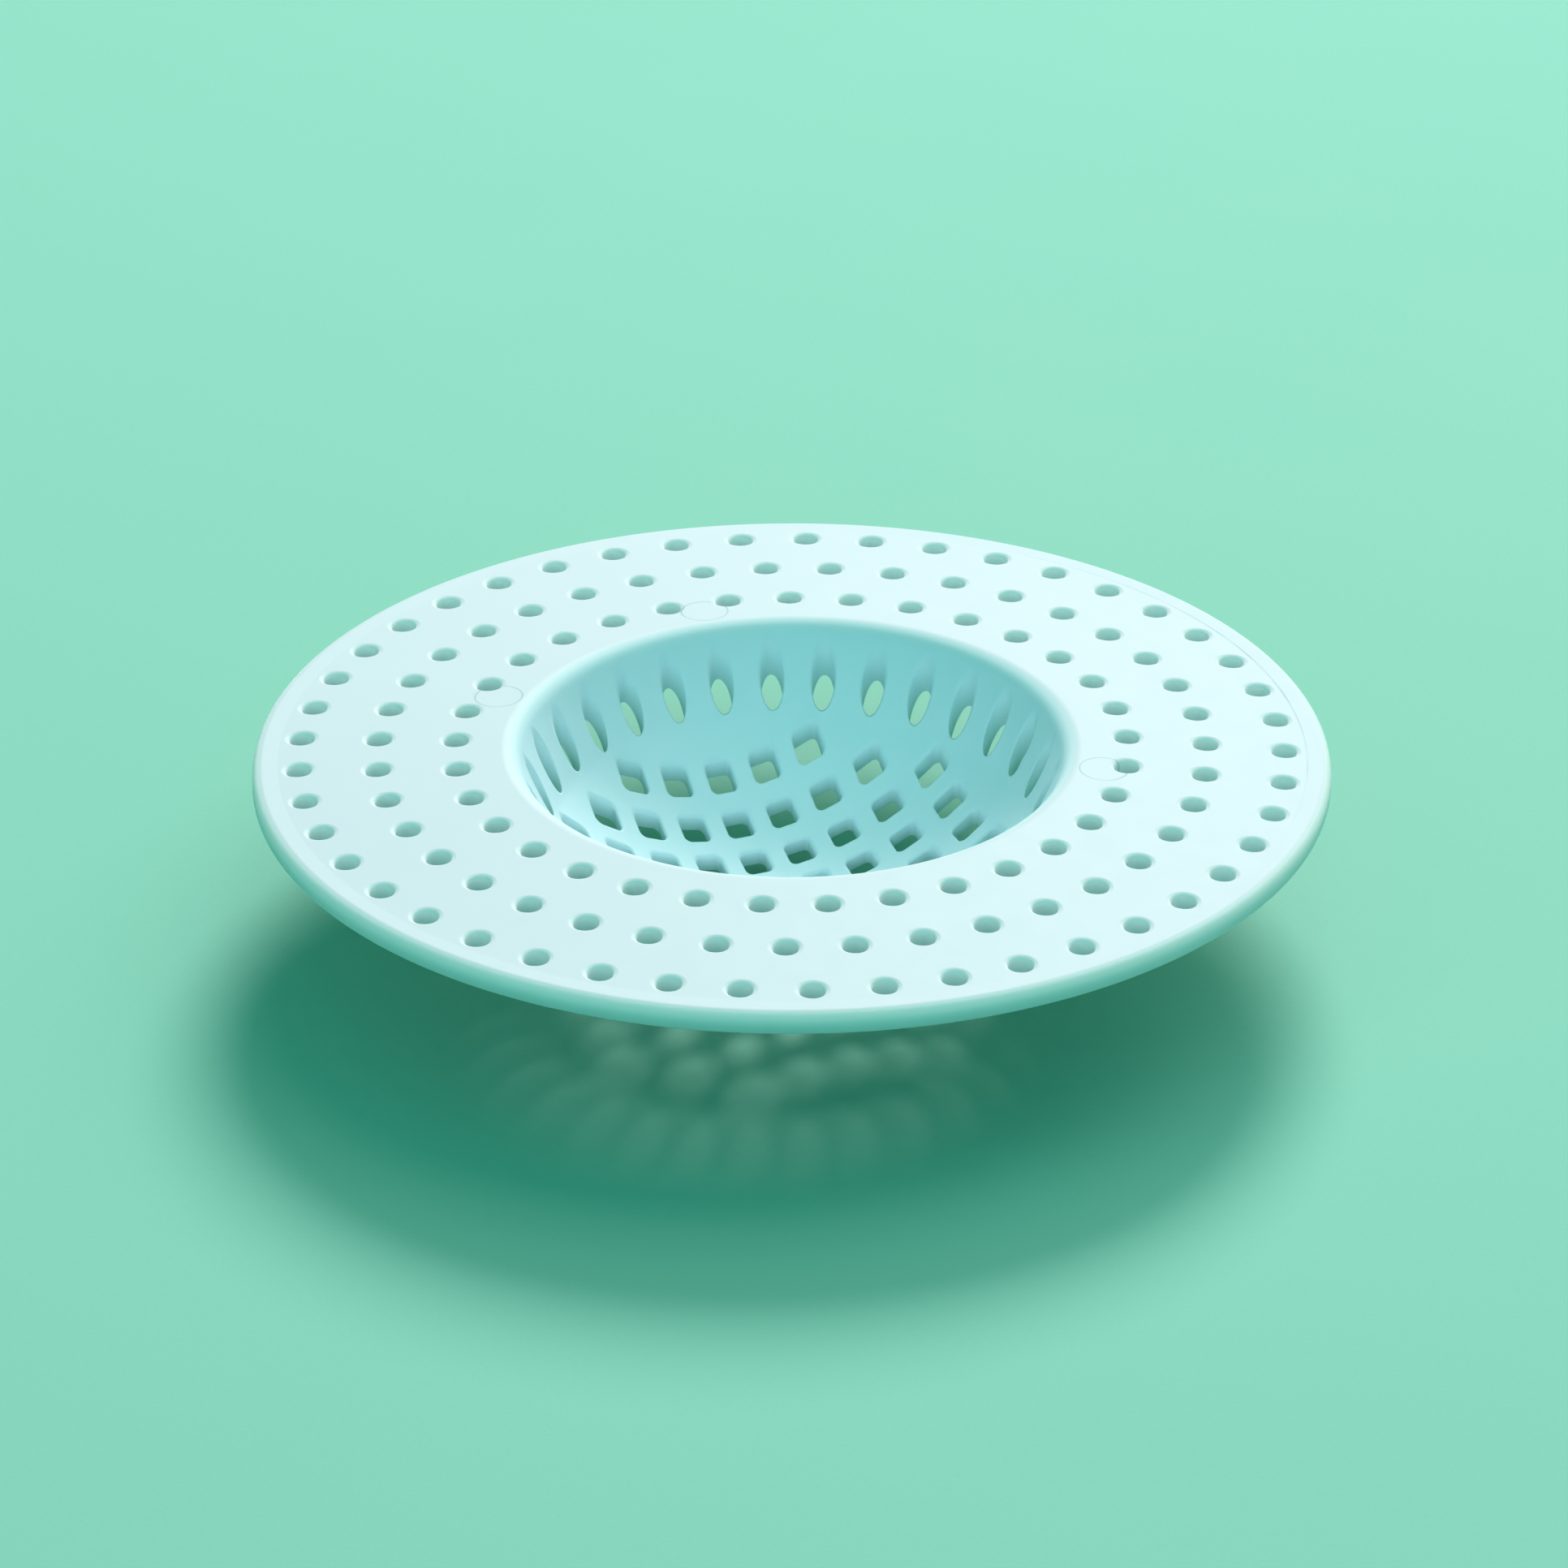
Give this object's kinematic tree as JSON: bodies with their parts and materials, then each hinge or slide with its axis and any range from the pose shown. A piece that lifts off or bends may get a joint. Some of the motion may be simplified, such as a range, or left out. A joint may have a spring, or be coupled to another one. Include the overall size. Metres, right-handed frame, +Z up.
{
  "type": "sink strainer",
  "caption": "Round moulded sink strainer: a drilled flange that covers the drain's edge, around a sieve basket with a slotted wall and a grid of square holes.",
  "frame": {"origin": "centre of the flat foot under the basket, on the surface that the strainer stands on", "axes": "+Z up along the axis of the disc, X and Y level, with +Y pointing away from the picture's viewer"},
  "size_m": [0.114, 0.114, 0.0224],
  "materials": {
    "aqua_plastic": "satin moulded"
  },
  "bodies": {
    "root": {"rim_edge": "aqua_plastic", "perforated_flange": "aqua_plastic", "slotted_collar": "aqua_plastic", "grid_basket": "aqua_plastic"}
  },
  "joints": []
}
